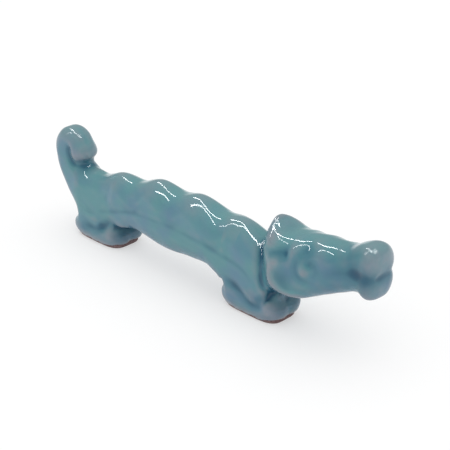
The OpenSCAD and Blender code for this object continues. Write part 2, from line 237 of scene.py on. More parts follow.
@dataclass(frozen=True)
class Trunk:
    """Waved back, flanks with their cut lines and swags, belly and chest."""

    plan: Plan
    foot_l: float = 17.8
    arch_h: float = 8.4
    belly_h: float = 7.1
    root_top: float = 18.6
    wave_heights: tuple = (21.5, 24.0, 24.3, 22.8)
    wave_pitch: float = 15.2
    dip_depth: float = 1.55
    chest_r: float = 3.2
    chest_x: float = 26.4
    # share of the height at which the body is widest, and the squareness of its four kinds of section
    widest: float = 0.42
    crest_square: float = 2.05
    dip_square: float = 2.45
    belly_square: float = 2.5
    foot_square: float = 5.5
    # depths of the carving on a flank
    line_d: float = 0.17
    side_line_d: float = 0.08
    swag_d: float = 0.1

    @property
    def wave_x(self) -> float:
        """First wave of the back."""
        return self.plan.hind_x + 7

    def dip(self, x: Array) -> Array:
        """Share of the way down into a dip, 0 on the waves and 1 in the dips, as a cosine."""
        return (1 - np.cos(2 * np.pi * (x - self.wave_x) / self.wave_pitch)) / 2

    def back(self, x: Array) -> Array:
        """Height of the back: a curve over the waves less the dips.

        Args:
            x: places along the body.

        Returns:
            The height at each place.
        """
        waves = [(self.plan.root_x, self.root_top + self.dip_depth / 2)]
        waves += [(self.wave_x + i * self.wave_pitch, h) for i, h in enumerate(self.wave_heights)]
        waves += [(self.plan.neck_x, self.wave_heights[3] - 1.4)]
        start = ease(x, self.plan.root_x - 8, self.plan.root_x + 6)
        return smooth_curve(x, waves) - self.dip_depth * self.dip(x) * start

    def belly(self, x: Array) -> Array:
        """Height of the underside, level over the feet and arched between them, rising round the chest.

        Args:
            x: places along the body.

        Returns:
            The height at each place.
        """
        front, rear = self.plan.hind_x + self.foot_l / 2, self.plan.fore_x - self.foot_l / 2
        low = self.plan.foot_h
        points = [(front - 1, low), (front + 2, mix(low, self.arch_h, 0.4)), (front + 8, self.arch_h - 0.6),
                  (front + 14, mix(self.arch_h, self.belly_h, 0.9) - 0.4), (front + 20, self.belly_h - 0.6),
                  (front + 26, self.belly_h),
                  (rear - 5, self.belly_h + 0.6), (rear - 1.5, low + 0.8), (rear, low)]
        u = np.clip(1 - (self.chest_x - x) / self.chest_r, 0, 1)
        legs = sum(ease(x, foot_x - 8.4, foot_x - 6) * (1 - ease(x, foot_x + 5.6, foot_x + 8.2))
                   for foot_x in (self.plan.hind_x, self.plan.fore_x))
        return smooth_curve(x, points) - 3.2 * legs + self.chest_r * (1 - np.sqrt(1 - u * u))

    def over_foot(self, x: Array) -> Array:
        """1 over the feet and 0 between them."""
        front, rear = self.plan.hind_x + self.foot_l / 2, self.plan.fore_x - self.foot_l / 2
        return np.maximum(1 - ease(x, front - 1, front + 6), ease(x, rear - 6, rear + 1))

    def half(self, x: Array) -> Array:
        """Half width of the body."""
        return mix(self.plan.body_w_hind, self.plan.body_w_fore, ease(x, self.plan.hind_x, self.plan.fore_x)) / 2

    def gap(self, x: Array, y: Array, z: Array) -> Array:
        """Field of the trunk: at each place an oval from belly to back, rounder on the waves, squarer over the feet.

        Args:
            x: places along the body.
            y: places across it.
            z: heights.

        Returns:
            The field, negative inside.
        """
        top, low, half = self.back(x), self.belly(x), self.half(x)
        mid = mix(low, top, self.widest)
        up = z > mid
        height = np.where(up, top - mid, 1.06 * (mid - low))
        square = np.where(up, mix(self.crest_square, self.dip_square, self.dip(x)),
                          mix(self.belly_square, self.foot_square, self.over_foot(x)))
        body = oval_gap(y, z - mid, half, height, square)
        body = soft_cut(body, low - z, 1.2)
        return soft_cut(body, x - self.chest_x - 1.2, 1.5)

    def carving(self, x: Array, z: Array) -> Array:
        """Relief of a flank: a double line along the body, and swags that hang under the dips.

        Args:
            x: places along the body.
            z: heights.

        Returns:
            The relief, positive outwards.
        """
        line = groove(x, z, [(-40.5, 8.6), (-35.6, 10.2), (-31, 11.6), (-27, 12.9), (-20.9, 14.4), (-12, 15.0),
                             (-3, 15.2), (5.6, 14.9), (12, 14.1), (18, 13.2), (21.4, 11.6), (23.2, 9.6)], 0.95, 0.2)
        upper = groove(x, z, [(-27, 15.0), (-18, 16.6), (-11.9, 16.9), (-5, 16.6), (1, 16.3)], 0.9, 0.3)
        lower = groove(x, z, [(-22, 12.6), (-14, 13.4), (-5, 13.5), (4, 13.0)], 0.9, 0.35)
        down = self.back(x) - z
        ends = ease(x, -37, -30) * (1 - ease(x, 15, 20))
        swag = bump(down - 2.0 - 2.4 * self.dip(x - 0.8), 1.4)
        second = bump(down - 4.6 - 2.8 * self.dip(x - 1.8), 1.2) * self.dip(x - 1.8)
        fold = np.cos(2 * np.pi * (x - self.wave_x - 0.35 * down) / self.wave_pitch) * bump(down - 4.5, 3)
        hung = ends * (self.swag_d * fold - self.swag_d * swag - self.swag_d * second)
        return hung - self.line_d * line - self.side_line_d * upper - self.side_line_d * lower


@dataclass(frozen=True)
class TailScroll:
    """Stalk of the tail and the scroll at its end, with the groove that winds in to the curled tip."""

    plan: Plan
    trunk: Trunk
    curl_r: float = 6.8
    curl_z: float = 22.8
    curl_w: float = 8.0
    edge_r: float = 3.4
    groove_d: float = 1.2
    groove_w: float = 1.5
    # half thickness at the root of the tail, share of the groove's depth on the far side, and fullness of the tip
    root_half: float = 5.3
    far_groove: float = 0.7
    tip_swell: float = 0.2
    tip: tuple = (-46.9, 23.0)

    @property
    def curl(self) -> Array:
        """Middle of the scroll."""
        return np.array([self.plan.tail_x + self.curl_r, self.curl_z])

    def rim_point(self, angle: Array) -> Array:
        """Point of the scroll's rim at an angle in degrees; the roll is fullest above and behind its middle.

        Args:
            angle: angles in degrees, 0 towards the head and 90 upwards.

        Returns:
            One point of the side view for each angle.
        """
        a = np.radians(np.atleast_1d(angle))
        reach = smooth_curve(np.degrees(a), [(-16, 5.7), (2, 5.95), (22, 5.85), (42, 5.75), (66, 6.4), (98, 7.15),
                                             (125, 7.3), (150, 7.05), (172, self.curl_r), (190, self.curl_r - 0.05)])
        return self.curl + reach[:, None] * np.stack([np.cos(a), np.sin(a)], -1)

    def outline(self) -> Array:
        """Side view of stalk and scroll: up the stalk, round the scroll, into the notch and on to the back.

        Returns:
            The corners of the closed outline, in order.
        """
        stalk = smooth_track([(-46.2, 3.0), (-46.7, 5.0), (-47.6, 6.9), (-49.4, 8.8), (-52.1, 11.3), (-54.9, 15.0),
                              (-56.6, 18.6), tuple(self.rim_point(188)[0])])
        scroll = self.rim_point(np.linspace(180, -10, 40))
        notch = smooth_track([tuple(scroll[-1]), (-44.7, 21.1), (-44.6, 20.4), (-44.5, 19.8), (-44.0, 19.3),
                              (-42.9, 18.95), (-41.0, 18.7)])
        far = np.linspace(-39.6, -34, 7)
        back = np.stack([far, self.trunk.back(far)], -1)
        return np.vstack([stalk, scroll, notch[1:], back, [[-34, 3.0]]])

    def groove_depth(self, x: Array, z: Array) -> Array:
        """Groove from the notch under and behind the tip to its upper end, deepest at the notch.

        Args:
            x: places along the body.
            z: heights.

        Returns:
            The depth, 0 away from the groove.
        """
        track = smooth_track([(-43.4, 20.1), (-45.0, 20.1), (-46.6, 20.15), (-48.4, 20.6), (-49.6, 21.8), (-50.0, 23.3),
                              (-49.4, 24.7), (-48.3, 25.3)])
        gap, along = track_gap(x, z, track)
        ends = ease(along, -0.1, 0.2) * mix(1.1, 0.6, ease(along, 0.1, 1.0)) * (1 - ease(along, 0.8, 1.01))
        return self.groove_d * bump(gap, self.groove_w) * ends

    def gap(self, x: Array, y: Array, z: Array) -> Array:
        """Field of the tail: the side view given a thickness with rounded edges, from which the groove is taken.

        Args:
            x: places along the body.
            y: places across it.
            z: heights.

        Returns:
            The field, negative inside.
        """
        side = outline_gap(x, z, self.outline())
        root = ease(x, self.plan.root_x - 10, self.plan.root_x + 2) * (1 - ease(z, 14, 20))
        tip = np.hypot(x - self.tip[0], z - self.tip[1])
        cut = self.groove_depth(x, z) * np.where(y > 0, self.far_groove, 1.0)
        half = mix(self.curl_w / 2, self.root_half, root) - cut + self.tip_swell * bump(tip, 2.0)
        across, deep = side + self.edge_r, np.abs(y) - (half - self.edge_r)
        outside = np.hypot(np.maximum(across, 0), np.maximum(deep, 0))
        return np.minimum(np.maximum(across, deep), 0) + outside - self.edge_r

    def onto_trunk(self, x: Array, z: Array) -> Array:
        """Share of the trunk's own field, from 0 on the stalk to 1 on the body, and 0 in the air over the back."""
        over = z - self.trunk.back(x)
        return ease(x, self.plan.root_x - 2.5, self.plan.root_x + 3) * (1 - ease(over, 1.2, 3.0))


@dataclass(frozen=True)
class Head:
    """Horn dome, brow, cheeks with a scroll, jaw, muzzle, nose and mouth."""

    plan: Plan
    head_w: float = 15.8
    muzzle_w: float = 10.0
    nose_w: float = 12.2
    horn_h: float = 27.3
    brow_h: float = 26.6
    nose_h: float = 30.2
    jaw_h: float = 8.9
    chin_h: float = 16.7
    # length over which the end of the nose is rounded, the power of its curve, and how far it pulls brow and chin in
    nose_round: float = 4.0
    nose_power: float = 2.8
    brow_pull: float = 0.45
    chin_pull: float = 0.3
    # depth of each carved form of a side, positive outwards
    lobe_d: float = 0.55
    jaw_d: float = 0.5
    hollow_d: float = -0.6
    under_horn_d: float = -0.7
    scroll_d: float = -0.45
    eye_d: float = -0.45
    boss_d: float = 0.45
    curl_d: float = -0.15
    pinch_d: float = -0.28
    ripple_d: float = 0.14

    def top(self, x: Array) -> Array:
        """Height of horn, brow, muzzle and nose.

        Args:
            x: places along the body.

        Returns:
            The height at each place.
        """
        neck, nose = self.plan.neck_x, self.plan.nose_x
        horn = self.horn_h
        return smooth_curve(x, [(neck + 1.4, horn - 0.3), (neck + 2.8, horn + 0.6), (neck + 4.2, horn - 0.45),
                                (neck + 6.6, self.brow_h - 1.1), (neck + 10, self.brow_h - 1.0),
                                (neck + 17, self.brow_h), (nose - 9.4, self.brow_h + 0.8),
                                (nose - 6.2, self.brow_h + 2.6), (nose - 3.4, self.nose_h - 0.05),
                                (nose, self.nose_h - 0.6)])

    def low(self, x: Array) -> Array:
        """Height of the underside of jaw and chin.

        Args:
            x: places along the body.

        Returns:
            The height at each place.
        """
        neck, nose, jaw, chin = self.plan.neck_x, self.plan.nose_x, self.jaw_h, self.chin_h
        return smooth_curve(x, [(neck + 2.4, jaw + 0.6), (neck + 7, jaw), (neck + 11.5, jaw + 0.3),
                                (neck + 17, jaw + 2.8), (nose - 8.2, chin - 0.4), (nose - 5.4, chin + 0.5),
                                (nose - 3.0, chin + 0.1), (nose, chin)])

    def half(self, x: Array) -> Array:
        """Half width of cheeks, muzzle and nose.

        Args:
            x: places along the body.

        Returns:
            The half width at each place.
        """
        neck, nose = self.plan.neck_x, self.plan.nose_x
        cheek, muzzle, end = self.head_w / 2, self.muzzle_w / 2, self.nose_w / 2 - 0.2
        return smooth_curve(x, [(neck, self.plan.body_w_fore / 2 + 0.3), (neck + 3, cheek - 0.6), (neck + 7, cheek),
                                (neck + 13, cheek - 0.8), (neck + 19, mix(cheek, muzzle, 0.7)),
                                (nose - 8.2, muzzle + 0.1), (nose - 4.4, muzzle + 0.2), (nose - 1.7, end),
                                (nose, end)])

    def rear(self, y: Array, z: Array) -> Array:
        """Where the head begins: it bows back over the neck in the middle and sweeps forward under the jaw."""
        lean = 0.28 * np.maximum(z - 21.2, 0)
        return self.plan.neck_x - 0.5 + 2.9 * (y / 6) ** 2 + lean + 2.6 * (np.maximum(13 - z, 0) / 4.5) ** 2

    def gap(self, x: Array, y: Array, z: Array) -> Array:
        """Field of the head: at each place an oval from jaw to brow, drawn in towards the end of the nose.

        Args:
            x: places along the body.
            y: places across it.
            z: heights.

        Returns:
            The field, negative inside.
        """
        end = np.clip((x - self.plan.nose_x + self.nose_round + 0.1) / self.nose_round, 0, 0.985)
        keep = (1 - end**self.nose_power) ** (1 / self.nose_power)
        top, low = self.top(x), self.low(x)
        up = z > (top + low) / 2
        height = mix(1, keep, np.where(up, self.brow_pull, self.chin_pull)) * (top - low) / 2
        square = np.where(up, mix(2.2, 2.5, ease(x, 27, 31)), mix(2.45, 3.2, ease(x, 52.5, 56)))
        shape = oval_gap(y, z - (top + low) / 2, self.half(x) * keep, height, square)
        shape = soft_cut(shape, x - self.plan.nose_x + 0.15, 0.8)
        return soft_cut(shape, 0.9 * (self.rear(y, z) - x), 2.2)

    def carving(self, x: Array, z: Array) -> Array:
        """Relief of a side of the head: ridge round the jaw, cheek scroll and hollows under the horn.

        Args:
            x: places along the body.
            z: heights.

        Returns:
            The relief, positive outwards.
        """
        lobe = bump(np.hypot(x - 27.7, z - 23.2), 2.7)
        jaw = groove(x, z, [(32.4, 20.2), (30.8, 19.5), (29.6, 17.5), (29.6, 15.0), (31.0, 12.9), (33.6, 11.7),
                            (36.8, 11.8), (41, 13.3)], 1.15, 0.2)
        hollow = bump(np.hypot(x - 33.4, (z - 15.8) * 0.8), 2.9)
        under_horn = groove(x, z, [(25.6, 21.6), (28.4, 21.5), (30.6, 21.7), (32.6, 22.0), (35.2, 22.2)],
                            1.6, 0.2)
        scroll = groove(x, z, [(43.4, 24.3), (40.6, 24.7), (38.3, 23.9), (36.9, 22.0), (36.6, 19.8), (37.7, 17.8),
                               (40.0, 16.9), (42.6, 17.6)], 1.5, 0.3)
        eye = bump(np.hypot(x - 39.9, z - 21.6), 1.5)
        boss = bump(np.hypot(x - 39.0, z - 19.4), 1.6)
        curl = groove(x, z, [(38.4, 17.9), (40.9, 18.8), (42.0, 20.2), (41.6, 21.9), (40.2, 22.4)], 1.2, 0.35)
        pinch = bump(np.hypot((x - 51.8) * 0.8, (z - 25.2) * 0.5), 2.3)
        ripple = np.sin(0.85 * x + 0.9 * z) * bump(z - 25.6, 3.2) * ease(x, 31, 35) * (1 - ease(x, 49, 52))
        return (self.lobe_d * lobe + self.jaw_d * jaw + self.hollow_d * hollow + self.under_horn_d * under_horn
                + self.scroll_d * scroll + self.eye_d * eye + self.boss_d * boss + self.curl_d * curl
                + self.pinch_d * pinch + self.ripple_d * ripple)

    def mouth(self, x: Array, z: Array) -> Array:
        """Line of the mouth, soft on the cheek and darker towards the nose, and round its front.

        Args:
            x: places along the body.
            z: heights.

        Returns:
            The relief of the mouth, negative as it is cut in.
        """
        line = smooth_curve(x, [(42, 20.1), (44.4, 20.7), (48, 22.1), (51.6, 23.1), (54.6, 23.4), (57.4, 22.5)])
        deep = mix(0.25, 0.7, ease(x, 49, 54.5)) * mix(1, 0.6, ease(x, 55.5, 57))
        return -deep * bump(z - line, 1.7) * ease(x, 42, 47)


class Place(Enum):
    """Which of the two feet."""

    HIND = "hind"
    FORE = "fore"


@dataclass(frozen=True)
class Foot:
    """One glazed foot with its toes, and the ring of bare clay on which it stands."""

    plan: Plan
    place: Place
    length: float = 17.8
    width: float = 10.6
    glaze_lip: float = 0.3
    toe_swell: float = 0.9
    square: float = 3.8
    # where the front of the foot begins and ends ahead of its middle, how much more clay shows there, and how deep
    # the groove between the toes is
    front: tuple = (5.0, 8.5)
    front_raise: float = 0.55
    toe_gap: float = 0.35

    @property
    def x(self) -> float:
        """Middle of the foot."""
        return self.plan.hind_x if self.place is Place.HIND else self.plan.fore_x

    def forward(self, x: Array) -> Array:
        """0 behind the front of the foot and 1 at its toes."""
        return ease(x, self.x + self.front[0], self.x + self.front[1])

    def rise(self, z: Array) -> Array:
        """Share of the way up the foot."""
        return np.clip((z - self.plan.rim_h) / (self.plan.foot_h - self.plan.rim_h), 0, 1)

    def edge(self, x: Array, y: Array) -> Array:
        """Height at which the wiped glaze ends, uneven and highest in front."""
        uneven = 0.1 * np.sin(1.7 * x + y) + 0.06 * np.sin(4.1 * x - 2.3 * y)
        return self.plan.rim_h * (0.6 + 0.95 * self.forward(x) + uneven)

    def gap(self, x: Array, y: Array, z: Array) -> Array:
        """Field of the foot: a squarish oval in plan that swells above its ring and narrows to the leg.

        Args:
            x: places along the body.
            y: places across it.
            z: heights.

        Returns:
            The field, negative inside.
        """
        h = self.rise(z)
        swell, up = self.toe_swell * np.sin(np.pi * h**0.8), ease(h, 0.5, 1)
        leg = mix(self.plan.body_w_hind, self.plan.body_w_fore, self.place is Place.FORE) / 2 - self.width / 2
        reach = self.length / 2 + self.glaze_lip + swell - up - self.toe_gap * bump(y, 1.3) * (x > self.x)
        half = self.width / 2 + mix(self.glaze_lip, leg - 0.1, up) + 0.8 * swell
        shape = oval_gap(x - self.x, y, reach, half, self.square)
        shape = soft_cut(shape, z - self.plan.foot_h - 0.8, 1.6)
        return soft_cut(shape, self.edge(x, y) - z, 0.35)

    def carving(self, x: Array, z: Array) -> Array:
        """Relief of a side of the foot: groove from the heel up over the toe, the toe's knuckle and end of the leg.

        Args:
            x: places along the body.
            z: heights.

        Returns:
            The relief, positive outwards.
        """
        if self.place is Place.HIND:
            track = [(-45.0, 3.6), (-42.5, 3.7), (-39.3, 4.3), (-36.6, 4.6), (-34.6, 5.9), (-32.2, 7.2),
                     (-29.8, 7.7), (-27.4, 7.6)]
            leg = (-37.5, 7.0)
        else:
            track = [(10.6, 8.2), (13.4, 7.8), (16.1, 7.3), (18.1, 6.6), (20.0, 5.8), (22.4, 4.7), (24.4, 4.9),
                     (25.4, 6.2), (27.0, 7.2), (29.2, 7.4), (31.2, 6.6)]
            leg = (22.6, 7.9)
        line = groove(x, z, track, 1.6, 0.25)
        knuckle = bump(np.hypot(x - self.x - 7.6, z - 4.2), 1.7)
        return 0.2 * bump(np.hypot(x - leg[0], z - leg[1]), 2.4) - 0.6 * line + 0.45 * knuckle

    def ring_outline(self, count: int) -> Array:
        """Plan of the bare ring as count points of a squarish oval.

        Args:
            count: number of points.

        Returns:
            Their places along and across the body.
        """
        a = np.linspace(0, 2 * np.pi, count, endpoint=False)
        u, v = (np.sign(w) * np.abs(w) ** (2 / self.square) for w in (np.cos(a), np.sin(a)))
        return np.stack([self.x + self.length / 2 * u, self.width / 2 * v], -1)

    def build_ring(self, finish: "BareClay") -> bpy.types.Object:
        """Makes the bare clay ring: a profile from the middle of the ground underside, out to its worn edge and up
        behind the glaze, carried round the outline.

        Args:
            finish: the clay that it is dressed in.

        Returns:
            The finished piece, which stands for the ring's solid.
        """
        count, plan = 180, self.plan
        outline = self.ring_outline(count)
        centre = np.array([self.x, 0.0])
        angle = np.linspace(0, 2 * np.pi, count, endpoint=False)
        ragged = 0.05 * np.sin(7 * angle) + 0.04 * np.sin(17 * angle + 1) + 0.03 * np.sin(31 * angle + 2)
        # each row is the share of the way out, the step in from the outline, and the height
        profile = np.array([(0.25, 0, 0.10), (0.5, 0, 0.10), (0.66, 0, 0.08), (0.74, 0, 0.0), (0.9, 0, 0.0),
                            (1, 0.34, 0.0), (1, 0.14, 0.06), (1, 0.03, 0.2), (1, 0.0, 0.45),
                            (1, 0.02, plan.rim_h - 0.1), (1, 0.3, plan.rim_h), (0.6, 0, plan.rim_h),
                            (0.25, 0, plan.rim_h)])
        length = np.linalg.norm(outline - centre, axis=1, keepdims=True)
        out = (outline - centre) / length
        rows = []
        for share, inset, height in profile:
            reach = share * (length[:, 0] - inset - (0.4 * np.abs(ragged) if share == 1 and height < 0.3 else 0))
            raised = self.front_raise * self.forward(centre[0] + out[:, 0] * reach) * (height > 0.7)
            rows.append(np.column_stack([centre + out * reach[:, None], height + raised]))
        points = np.vstack(rows + [[[*centre, 0.10]], [[*centre, plan.rim_h]]])
        j = np.arange(count)
        k = (j + 1) % count
        grid = (np.arange(len(profile) - 1)[:, None] * count)
        quads = np.stack([grid + j, grid + j + count, grid + k + count, grid + k], -1).reshape(-1, 4)
        low, high = len(profile) * count, len(profile) * count + 1
        last = (len(profile) - 1) * count
        fans = [(low, int(a), int(b)) for a, b in zip(j, k)]
        fans += [(high, int(last + b), int(last + a)) for a, b in zip(j, k)]
        piece = make_mesh(f"{self.place.value}_foot_bare_clay", points, [tuple(map(int, q)) for q in quads] + fans)
        piece.data.materials.append(finish.material())
        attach(piece, "root")
        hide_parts(f"{self.place.value}_foot_rim")
        return piece


# The glazed skin


def make_mesh(name: str, points: Array, faces: list) -> bpy.types.Object:
    """Makes a smooth object and links it to the scene.

    Args:
        name: its name.
        points: its points in millimetres.
        faces: the numbers of each face's points, turning so that it faces outwards.

    Returns:
        The object.
    """
    mesh = bpy.data.meshes.new(name)
    mesh.from_pydata((points * MM).tolist(), [], faces)
    mesh.validate()
    mesh.update()
    mesh.polygons.foreach_set("use_smooth", np.ones(len(mesh.polygons), bool))
    piece = bpy.data.objects.new(name, mesh)
    bpy.context.scene.collection.objects.link(piece)
    return piece


@dataclass
class GlazedSkin:
    """The one glazed surface of the beast, found where the joined field of its parts is zero."""

    trunk: Trunk
    tail: TailScroll
    head: Head
    feet: list = field(default_factory=list)
    cell: float = SKIN_CELL
    # middle of the swelling of the chest, along the body and up, and its half sizes
    chest: tuple = (22.6, 7.6)
    chest_half: tuple = (6.0, 5.3, 3.4)
    # height of the slight unevenness all over
    uneven: float = 0.035
    # rounds of averaging after which hollows are read, the depth that counts as one and its weight, for each
    turns: tuple = (8, 45, 180)
    depths: tuple = (0.08, 0.3, 0.8)
    weights: tuple = (0.35, 1.4, 1.1)
    # places in the side view where glaze ran together, darkened further as painted shade, and where it is worn: x, z,
    # radius and amount
    runs_and_shade: tuple = ((51.6, 24.6, 3.8, 0.8), (55.6, 22.9, 2.4, 0.9), (48.0, 21.5, 5.0, 0.6), (46.0, 15.5, 5.5, 0.5),
                   (40.5, 21.0, 4.5, 0.2), (30.5, 8.2, 2.6, 1.6), (-28.4, 4.4, 1.9, 1.6), (-35.0, 4.6, 1.6, 0.5),
                   (31.0, 4.2, 1.6, 1.4), (22.0, 6.8, 2.4, 0.3), (-45.0, 19.8, 1.9, 1.0), (54.5, 20.8, 3.0, 0.7))
    worn: tuple = ((56.8, 26.0, 2.3, 1.1), (27.6, 19.4, 1.6, 0.6), (-47.0, 23.0, 2.2, 0.9), (-31.6, 4.9, 1.7, 1.4),
                   (27.6, 4.9, 1.7, 1.2), (56.4, 19.5, 2.0, 0.6), (27.5, 24.0, 2.4, 0.4), (-47.8, 4.6, 1.6, 0.9),
                   (-56.2, 19.0, 1.8, 0.7), (-54.2, 14.4, 1.8, 0.6), (28.0, 26.6, 2.4, 0.2), (31.0, 19.5, 1.4, 0.8),
                   (29.8, 17.6, 1.4, 1.0), (29.7, 15.2, 1.4, 1.0), (31.0, 13.1, 1.4, 0.8), (33.4, 11.9, 1.3, 0.5))

    def gap(self, x: Array, y: Array, z: Array) -> Array:
        """Joined field of all parts, less their carving, with the slight unevenness of pressed clay under glaze.

        Args:
            x: places along the body.
            y: places across it.
            z: heights.

        Returns:
            The field, negative inside.
        """
        body = mix(self.tail.gap(x, y, z), self.trunk.gap(x, y, z), self.tail.onto_trunk(x, z))
        a, b, c = self.chest_half
        chest = np.sqrt(((x - self.chest[0]) / a) ** 2 + (y / b) ** 2 + ((z - self.chest[1]) / c) ** 2)
        body = soft_union(body, (chest - 1) * c, 1.6)
        for foot in self.feet:
            body = soft_union(body, foot.gap(x, y, z), 1.5)
        shape = soft_union(body, self.head.gap(x, y, z), 1.0)
        shape = shape + 0.75 * self.neck(x, y, z, 1.4) * ease(np.abs(y), 0, 3)
        short = np.sin(0.9 * x + 1.3 * z) * np.sin(1.1 * y + 0.5)
        long = np.sin(0.37 * x - 0.8 * y + 1) * np.sin(0.7 * z)
        return shape - self.relief(x, y, z) + (short + long) * self.uneven

    def neck(self, x: Array, y: Array, z: Array, width: float) -> Array:
        """1 in the groove round the neck, where the head begins, and fading over its width."""
        return bump(x - self.head.rear(y, z) - 0.1, width) * (1 - ease(x, 29, 33)) * ease(z, 6.5, 10)

    def relief(self, x: Array, y: Array, z: Array) -> Array:
        """Carved relief of both sides, positive outwards and fading towards the middle of back and belly.

        Args:
            x: places along the body.
            y: places across it.
            z: heights.

        Returns:
            The relief, positive outwards.
        """
        side = ease(np.abs(y), 1.2, 4.2)
        on_head = ease(x - self.head.rear(y, z), 0.4, 1.6)
        carved = mix(self.trunk.carving(x, z), self.head.carving(x, z), on_head) * side
        nose = self.head.plan.nose_x
        carved = carved + self.head.mouth(x, z) * np.maximum(side, ease(x, nose - 5, nose - 2))
        return carved + sum(foot.carving(x, z) * (1 - on_head) for foot in self.feet) * ease(np.abs(y), 2.4, 4.4)

    def net(self) -> tuple:
        """Polygonises the field by surface nets: one point in each grid cell that the surface crosses, at the mean of
        its crossings with the cell's edges, and one face across each grid edge that it crosses.

        Returns:
            The points in millimetres and the four-sided faces.
        """
        low = np.array([self.trunk.plan.tail_x - 1.0, -9.0, 0.1])
        high = np.array([self.trunk.plan.nose_x + 1.0, 9.0, self.head.nose_h + 1.0])
        counts = np.ceil((high - low) / self.cell).astype(int) + 1
        axes = [low[k] + self.cell * np.arange(counts[k]) for k in range(3)]
        x, y, z = np.ix_(*axes)
        value = np.broadcast_to(self.gap(x, y, z), counts)
        shape = counts - 1
        corner = {}
        for offset in np.ndindex(2, 2, 2):
            corner[offset] = value[tuple(slice(o, o + s) for o, s in zip(offset, shape))]
        inside = sum((c < 0).astype(np.int8) for c in corner.values())
        cells = np.argwhere((inside > 0) & (inside < 8))
        index = np.full(shape, -1)
        index[tuple(cells.T)] = np.arange(len(cells))
        total, crossings = np.zeros((len(cells), 3)), np.zeros((len(cells), 1))
        for axis in range(3):
            for offset in np.ndindex(2, 2, 2):
                if offset[axis]:
                    continue
                other = tuple(1 if k == axis else o for k, o in enumerate(offset))
                a, b = (corner[c][tuple(cells.T)] for c in (offset, other))
                crossed = (a < 0) != (b < 0)
                share = np.where(crossed, a / np.where(crossed, a - b, 1), 0)
                spot = np.tile(np.array(offset, float), (len(cells), 1))
                spot[:, axis] += share
                total += spot * crossed[:, None]
                crossings += crossed[:, None]
        points = low + self.cell * (cells + total / crossings)
        faces = []
        for axis in range(3):
            p, q = [k for k in range(3) if k != axis]
            one = [slice(1, -1)] * 3
            two = [slice(1, -1)] * 3
            one[axis], two[axis] = slice(0, -1), slice(1, None)
            a, b = value[tuple(one)] < 0, value[tuple(two)] < 0
            for leaving in (True, False):
                edges = np.argwhere((a & ~b) if leaving else (~a & b))
                base = edges + 1
                base[:, axis] = edges[:, axis]
                ring = []
                for dp, dq in ((0, 0), (-1, 0), (-1, -1), (0, -1)):
                    c = base.copy()
                    c[:, p] += dp
                    c[:, q] += dq
                    ring.append(index[tuple(c.T)])
                quad = np.stack(ring, -1)
                faces.append(quad if leaving == (axis != 1) else quad[:, ::-1])
        return points, np.vstack(faces)

    def settle(self, points: Array) -> Array:
        """Moves points onto the surface by Newton's step: the field over the square of its slope, down the slope.

        Args:
            points: points near the surface.

        Returns:
            The moved points.
        """
        h = 0.02
        for _ in range(2):
            x, y, z = points.T
            value = self.gap(x, y, z)
            slope = np.stack([(self.gap(x + dx, y + dy, z + dz) - value) / h for dx, dy, dz in np.eye(3) * h], -1)
            step = (value / np.maximum((slope**2).sum(-1), 0.2))[:, None] * slope
            size = np.linalg.norm(step, axis=1, keepdims=True)
            points = points - step * np.minimum(1, 0.5 * self.cell / np.maximum(size, 1e-9))
        return points

    def pooling_and_shade(self, points: Array, faces: Array, normals: Array) -> tuple:
        """How the molten glaze ran: off the ridges and into the hollows, where painted shade is laid in with the pooled
        glaze.

        The points are averaged with their neighbours again and again. Where the averaged surface lies outside the real
        one, there is a hollow of about the width averaged over, and where it lies inside, there is a ridge.

        Args:
            points: points of the skin.
            faces: its faces.
            normals: outward normals of the points.

        Returns:
            How deep the glaze stands, with painted shade in the hollows, and how thin it is on each point, both from 0
            to 1.
        """
        edges = np.vstack([faces[:, [0, 1]], faces[:, [1, 2]], faces[:, [2, 3]], faces[:, [3, 0]]])
        count = np.bincount(edges[:, 0], minlength=len(points)) + np.bincount(edges[:, 1], minlength=len(points))
        smooth, hollows = points.copy(), []
        for turn in range(1, self.turns[-1] + 1):
            mean = np.stack([np.bincount(edges[:, 0], smooth[edges[:, 1], k], len(points))
                             + np.bincount(edges[:, 1], smooth[edges[:, 0], k], len(points)) for k in range(3)], -1)
            smooth = 0.4 * smooth + 0.6 * mean / count[:, None]
            if turn in self.turns:
                hollows.append(((smooth - points) * normals).sum(-1))
        fine, middle, _ = hollows
        # the hollows found here take the dark pooled colour, which is pooled glaze and painted shade together
        deep = sum(w * np.maximum(h, 0) / d for w, h, d in zip(self.weights, hollows, self.depths))
        thin = 0.5 * np.maximum(-fine - 0.012, 0) / 0.06 + np.maximum(-middle - 0.08, 0) / 0.35
        x, y, z = points.T
        carved = self.relief(x, y, z)
        deep = deep + 0.9 * np.maximum(-carved - 0.05, 0) / 0.5
        thin = thin + 2.0 * np.maximum(carved - 0.12, 0) / 0.5
        horn = bump(np.hypot(x - 29.5, z - 26.4), 3.0)
        # the neck groove and the listed runs are darkened as pooled glaze and painted shade
        deep = deep * (1 - 0.8 * horn) + 0.7 * self.neck(x, y, z, 1.5) * ease(np.abs(y), 1, 4)
        deep = deep + sum(amount * bump(np.hypot(x - a, z - b), r) for a, b, r, amount in self.runs_and_shade)
        thin = thin + sum(amount * bump(np.hypot(x - a, z - b), r) for a, b, r, amount in self.worn)
        crest = (1 - self.trunk.dip(x)) ** 3 * bump(z - self.trunk.back(x) + 2.3, 1.4) * (x > -40) * (x < 16)
        thin = thin + 0.6 * crest + 0.9 * (1 - ease(z, 1.2, 2.8))
        return 1 - np.exp(-0.5 * deep), 1 - np.exp(-0.8 * thin)

